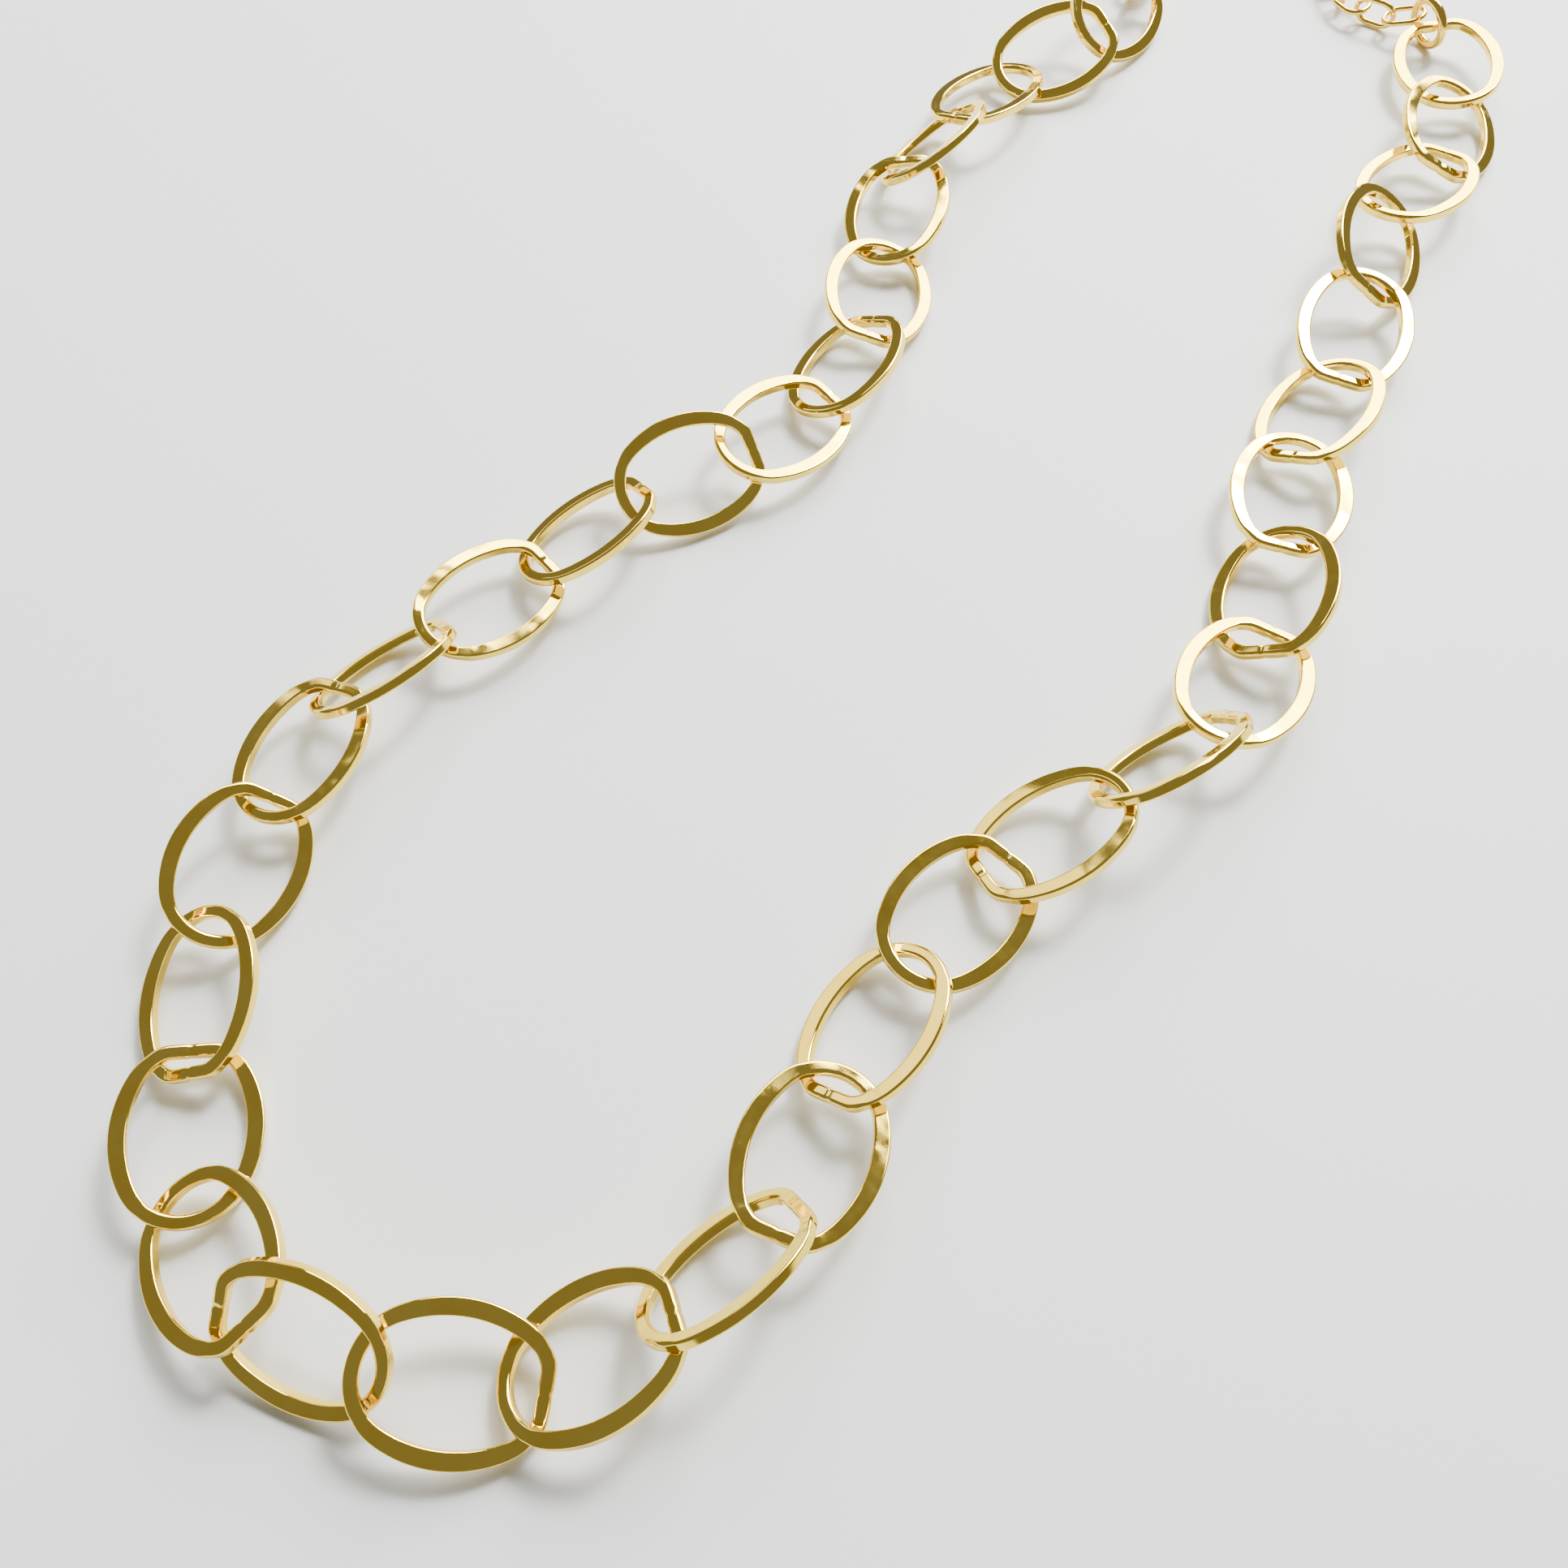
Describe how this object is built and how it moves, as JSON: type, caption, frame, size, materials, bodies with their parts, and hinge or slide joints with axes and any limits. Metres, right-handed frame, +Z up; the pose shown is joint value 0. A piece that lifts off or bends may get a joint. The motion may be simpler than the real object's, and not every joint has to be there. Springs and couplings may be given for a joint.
{
  "type": "chain necklace",
  "caption": "Gold-plated chain necklace of large flattened oval links, laid in a narrow U, with a lobster clasp and a fine extender chain.",
  "frame": {"origin": "on the table, under the middle of the whole necklace as it lies", "axes": "+Z up; +Y from the front of the U towards its two ends; +X to the wearer's-left arm, which carries the extender"},
  "size_m": [0.0744, 0.1934, 0.0089],
  "materials": {
    "polished_gold": "polished gold plate",
    "gold_wire": "polished gold plate",
    "clasp_gold": "tumbled gold plate",
    "spring_steel": "drawn wire"
  },
  "bodies": {
    "clasp": {"clasp_body": "clasp_gold", "clasp_pin": "clasp_gold", "clasp_spring": "spring_steel"},
    "clasp_gate": {"clasp_gate": "clasp_gold"},
    "clasp_ring": {"clasp_ring": "gold_wire"},
    "end_drop": {"end_drop": "gold_wire"},
    "extender_link_01": {"extender_link_01": "gold_wire"},
    "extender_link_02": {"extender_link_02": "gold_wire"},
    "extender_link_03": {"extender_link_03": "gold_wire"},
    "extender_link_04": {"extender_link_04": "gold_wire"},
    "extender_link_05": {"extender_link_05": "gold_wire"},
    "extender_link_06": {"extender_link_06": "gold_wire"},
    "extender_link_07": {"extender_link_07": "gold_wire"},
    "extender_link_08": {"extender_link_08": "gold_wire"},
    "link_01": {"link_01": "polished_gold"},
    "link_02": {"link_02": "polished_gold"},
    "link_03": {"link_03": "polished_gold"},
    "link_04": {"link_04": "polished_gold"},
    "link_05": {"link_05": "polished_gold"},
    "link_06": {"link_06": "polished_gold"},
    "link_07": {"link_07": "polished_gold"},
    "link_08": {"link_08": "polished_gold"},
    "link_09": {"link_09": "polished_gold"},
    "link_10": {"link_10": "polished_gold"},
    "link_11": {"link_11": "polished_gold"},
    "link_12": {"link_12": "polished_gold"},
    "link_13": {"link_13": "polished_gold"},
    "link_14": {"link_14": "polished_gold"},
    "link_15": {"link_15": "polished_gold"},
    "link_16": {"link_16": "polished_gold"},
    "link_17": {"link_17": "polished_gold"},
    "link_18": {"link_18": "polished_gold"},
    "link_19": {"link_19": "polished_gold"},
    "link_20": {"link_20": "polished_gold"},
    "link_21": {"link_21": "polished_gold"},
    "link_22": {"link_22": "polished_gold"},
    "link_23": {"link_23": "polished_gold"},
    "link_24": {"link_24": "polished_gold"},
    "link_25": {"link_25": "polished_gold"},
    "link_26": {"link_26": "polished_gold"},
    "link_27": {"link_27": "polished_gold"},
    "link_28": {"link_28": "polished_gold"},
    "link_29": {"link_29": "polished_gold"},
    "link_30": {"link_30": "polished_gold"},
    "link_31": {"link_31": "polished_gold"},
    "link_32": {"link_32": "polished_gold"},
    "link_33": {"link_33": "polished_gold"},
    "link_34": {"link_34": "polished_gold"},
    "link_35": {"link_35": "polished_gold"},
    "tail_ring": {"tail_ring": "gold_wire"}
  },
  "joints": [
    {"name": "clasp_swing", "type": "hinge", "parent": "clasp_ring", "child": "clasp", "pos_m": [-0.02502, 0.07696, 0.00264], "axis": [0, 0, 1], "range_deg": [-30, 0]},
    {"name": "clasp_ring_swing", "type": "hinge", "parent": "link_01", "child": "clasp_ring", "pos_m": [-0.02379, 0.07358, 0.00402], "axis": [0, 0, 1], "range_deg": [-30, 30]},
    {"name": "link_01_turn", "type": "hinge", "parent": "link_02", "child": "link_01", "pos_m": [-0.02379, 0.06259, 0.00402], "axis": [0, 0, -1], "range_deg": [0, 40]},
    {"name": "link_02_turn", "type": "hinge", "parent": "link_03", "child": "link_02", "pos_m": [-0.0289, 0.05373, 0.00222], "axis": [0, 0, 1], "range_deg": [0, 40]},
    {"name": "link_03_roll", "type": "hinge", "parent": "link_04", "child": "link_03", "pos_m": [-0.0289, 0.04288, 0.00373], "axis": [0, 1, 0], "range_deg": [0, 45]},
    {"name": "link_04_turn", "type": "hinge", "parent": "link_05", "child": "link_04", "pos_m": [-0.0289, 0.03189, 0.00373], "axis": [0, 0, 1], "range_deg": [0, 35]},
    {"name": "link_05_roll", "type": "hinge", "parent": "link_06", "child": "link_05", "pos_m": [-0.02427, 0.02196, 0.00222], "axis": [0.4226, -0.9063, 0], "range_deg": [0, 45]},
    {"name": "link_06_roll", "type": "hinge", "parent": "link_07", "child": "link_06", "pos_m": [-0.01948, 0.01168, 0.00241], "axis": [-0.3007, 0.9537, 0], "range_deg": [0, 45]},
    {"name": "link_07_roll", "type": "hinge", "parent": "link_08", "child": "link_07", "pos_m": [-0.01756, 0.00082, 0.00241], "axis": [0, -1, 0], "range_deg": [0, 45]},
    {"name": "link_08_roll", "type": "hinge", "parent": "link_09", "child": "link_08", "pos_m": [-0.01943, -0.00975, 0.00373], "axis": [-0.342, -0.9397, 0], "range_deg": [0, 45]},
    {"name": "link_09_roll", "type": "hinge", "parent": "link_10", "child": "link_09", "pos_m": [-0.02494, -0.0193, 0.00373], "axis": [0.3827, 0.9239, 0], "range_deg": [0, 45]},
    {"name": "link_10_roll", "type": "hinge", "parent": "link_11", "child": "link_10", "pos_m": [-0.02785, -0.03016, 0.00241], "axis": [-0.2164, -0.9763, 0], "range_deg": [0, 45]},
    {"name": "link_11_roll", "type": "hinge", "parent": "link_12", "child": "link_11", "pos_m": [-0.02983, -0.04138, 0.00358], "axis": [0.2164, 0.9763, 0], "range_deg": [0, 45]},
    {"name": "link_12_turn", "type": "hinge", "parent": "link_13", "child": "link_12", "pos_m": [-0.03268, -0.05203, 0.00358], "axis": [0, 0, 1], "range_deg": [0, 40]},
    {"name": "link_13_roll", "type": "hinge", "parent": "link_14", "child": "link_13", "pos_m": [-0.02984, -0.06264, 0.00326], "axis": [0.3007, -0.9537, 0], "range_deg": [0, 45]},
    {"name": "link_14_roll", "type": "hinge", "parent": "link_15", "child": "link_14", "pos_m": [-0.02598, -0.07325, 0.00326], "axis": [-0.5, 0.866, 0], "range_deg": [0, 45]},
    {"name": "link_15_roll", "type": "hinge", "parent": "link_16", "child": "link_15", "pos_m": [-0.01876, -0.08185, 0.00222], "axis": [0.6756, -0.7373, 0], "range_deg": [0, 45]},
    {"name": "link_16_turn", "type": "hinge", "parent": "link_17", "child": "link_16", "pos_m": [-0.011, -0.08961, 0.00204], "axis": [0, 0, 1], "range_deg": [0, 40]},
    {"name": "link_17_turn", "type": "hinge", "parent": "link_18", "child": "link_17", "pos_m": [-0.00106, -0.09227, 0.00402], "axis": [0, 0, 1], "range_deg": [0, 40]},
    {"name": "link_19_roll", "type": "hinge", "parent": "link_18", "child": "link_19", "pos_m": [0.00931, -0.08949, 0.00402], "axis": [-0.9239, -0.3827, 0], "range_deg": [0, 45]},
    {"name": "link_20_turn", "type": "hinge", "parent": "link_19", "child": "link_20", "pos_m": [0.01839, -0.08424, 0.00186], "axis": [0, 0, -1], "range_deg": [0, 40]},
    {"name": "link_21_roll", "type": "hinge", "parent": "link_20", "child": "link_21", "pos_m": [0.02362, -0.07519, 0.00429], "axis": [-0.3827, -0.9239, 0], "range_deg": [0, 45]},
    {"name": "link_22_turn", "type": "hinge", "parent": "link_21", "child": "link_22", "pos_m": [0.02644, -0.06467, 0.00429], "axis": [0, 0, -1], "range_deg": [0, 40]},
    {"name": "link_23_roll", "type": "hinge", "parent": "link_22", "child": "link_23", "pos_m": [0.02363, -0.0542, 0.00276], "axis": [0.1736, -0.9848, 0], "range_deg": [0, 45]},
    {"name": "link_24_roll", "type": "hinge", "parent": "link_23", "child": "link_24", "pos_m": [0.02265, -0.04304, 0.00276], "axis": [0, 1, 0], "range_deg": [0, 45]},
    {"name": "link_25_roll", "type": "hinge", "parent": "link_24", "child": "link_25", "pos_m": [0.02361, -0.03214, 0.00222], "axis": [-0.2588, -0.9659, 0], "range_deg": [0, 45]},
    {"name": "link_26_roll", "type": "hinge", "parent": "link_25", "child": "link_26", "pos_m": [0.02817, -0.02235, 0.00454], "axis": [-0.3827, -0.9239, 0], "range_deg": [0, 45]},
    {"name": "link_27_turn", "type": "hinge", "parent": "link_26", "child": "link_27", "pos_m": [0.03199, -0.01187, 0.00454], "axis": [0, 0, -1], "range_deg": [0, 35]},
    {"name": "link_28_roll", "type": "hinge", "parent": "link_27", "child": "link_28", "pos_m": [0.03104, -0.00107, 0.00293], "axis": [0.2164, -0.9763, 0], "range_deg": [0, 45]},
    {"name": "link_29_roll", "type": "hinge", "parent": "link_28", "child": "link_29", "pos_m": [0.02718, 0.00955, 0.00293], "axis": [-0.342, 0.9397, 0], "range_deg": [0, 45]},
    {"name": "link_30_roll", "type": "hinge", "parent": "link_29", "child": "link_30", "pos_m": [0.02331, 0.02017, 0.00258], "axis": [0.2164, -0.9763, 0], "range_deg": [0, 45]},
    {"name": "link_31_roll", "type": "hinge", "parent": "link_30", "child": "link_31", "pos_m": [0.02234, 0.03124, 0.00258], "axis": [-0.1736, 0.9848, 0], "range_deg": [0, 45]},
    {"name": "link_32_roll", "type": "hinge", "parent": "link_31", "child": "link_32", "pos_m": [0.01941, 0.04218, 0.00373], "axis": [-0.2588, 0.9659, 0], "range_deg": [0, 45]},
    {"name": "link_33_roll", "type": "hinge", "parent": "link_32", "child": "link_33", "pos_m": [0.01649, 0.05307, 0.00373], "axis": [0.0872, -0.9962, 0], "range_deg": [0, 45]},
    {"name": "link_34_roll", "type": "hinge", "parent": "link_33", "child": "link_34", "pos_m": [0.01744, 0.06395, 0.00276], "axis": [-0.0872, 0.9962, 0], "range_deg": [0, 45]},
    {"name": "link_35_roll", "type": "hinge", "parent": "link_34", "child": "link_35", "pos_m": [0.01463, 0.07445, 0.00276], "axis": [0.4226, -0.9063, 0], "range_deg": [0, 45]},
    {"name": "tail_ring_swing", "type": "hinge", "parent": "link_35", "child": "tail_ring", "pos_m": [0.00814, 0.08371, 0.00289], "axis": [0, 0, 1], "range_deg": [-30, 10]},
    {"name": "extender_link_01_swing", "type": "hinge", "parent": "tail_ring", "child": "extender_link_01", "pos_m": [0.00524, 0.08539, 0.00289], "axis": [0, 0, 1], "range_deg": [-25, 0]},
    {"name": "extender_link_02_swing", "type": "hinge", "parent": "extender_link_01", "child": "extender_link_02", "pos_m": [0.00211, 0.08483, 0.00183], "axis": [0, 0, 1], "range_deg": [-25, 25]},
    {"name": "extender_link_03_swing", "type": "hinge", "parent": "extender_link_02", "child": "extender_link_03", "pos_m": [-0.00124, 0.08483, 0.00183], "axis": [0, 0, 1], "range_deg": [-25, 25]},
    {"name": "extender_link_04_swing", "type": "hinge", "parent": "extender_link_03", "child": "extender_link_04", "pos_m": [-0.00427, 0.08625, 0.00182], "axis": [0, 0, 1], "range_deg": [-25, 25]},
    {"name": "extender_link_05_swing", "type": "hinge", "parent": "extender_link_04", "child": "extender_link_05", "pos_m": [-0.00664, 0.08862, 0.00182], "axis": [0, 0, 1], "range_deg": [-25, 25]},
    {"name": "extender_link_06_swing", "type": "hinge", "parent": "extender_link_05", "child": "extender_link_06", "pos_m": [-0.00856, 0.09136, 0.0018], "axis": [0, 0, 1], "range_deg": [-25, 25]},
    {"name": "extender_link_07_swing", "type": "hinge", "parent": "extender_link_06", "child": "extender_link_07", "pos_m": [-0.01093, 0.09373, 0.0018], "axis": [0, 0, 1], "range_deg": [-25, 25]},
    {"name": "extender_link_08_swing", "type": "hinge", "parent": "extender_link_07", "child": "extender_link_08", "pos_m": [-0.01384, 0.09541, 0.00182], "axis": [0, 0, 1], "range_deg": [-25, 25]},
    {"name": "end_drop_swing", "type": "hinge", "parent": "extender_link_08", "child": "end_drop", "pos_m": [-0.01717, 0.0957, 0.00182], "axis": [0, 0, 1], "range_deg": [-25, 15]},
    {"name": "gate_pivot", "type": "hinge", "parent": "clasp", "child": "clasp_gate", "pos_m": [-0.02956, 0.07938, 0.00241], "axis": [-0.0005, -0.0982, -0.9952], "range_deg": [0, 30], "stiffness_Nm_per_rad": 0.004, "springref_deg": -17.19}
  ]
}
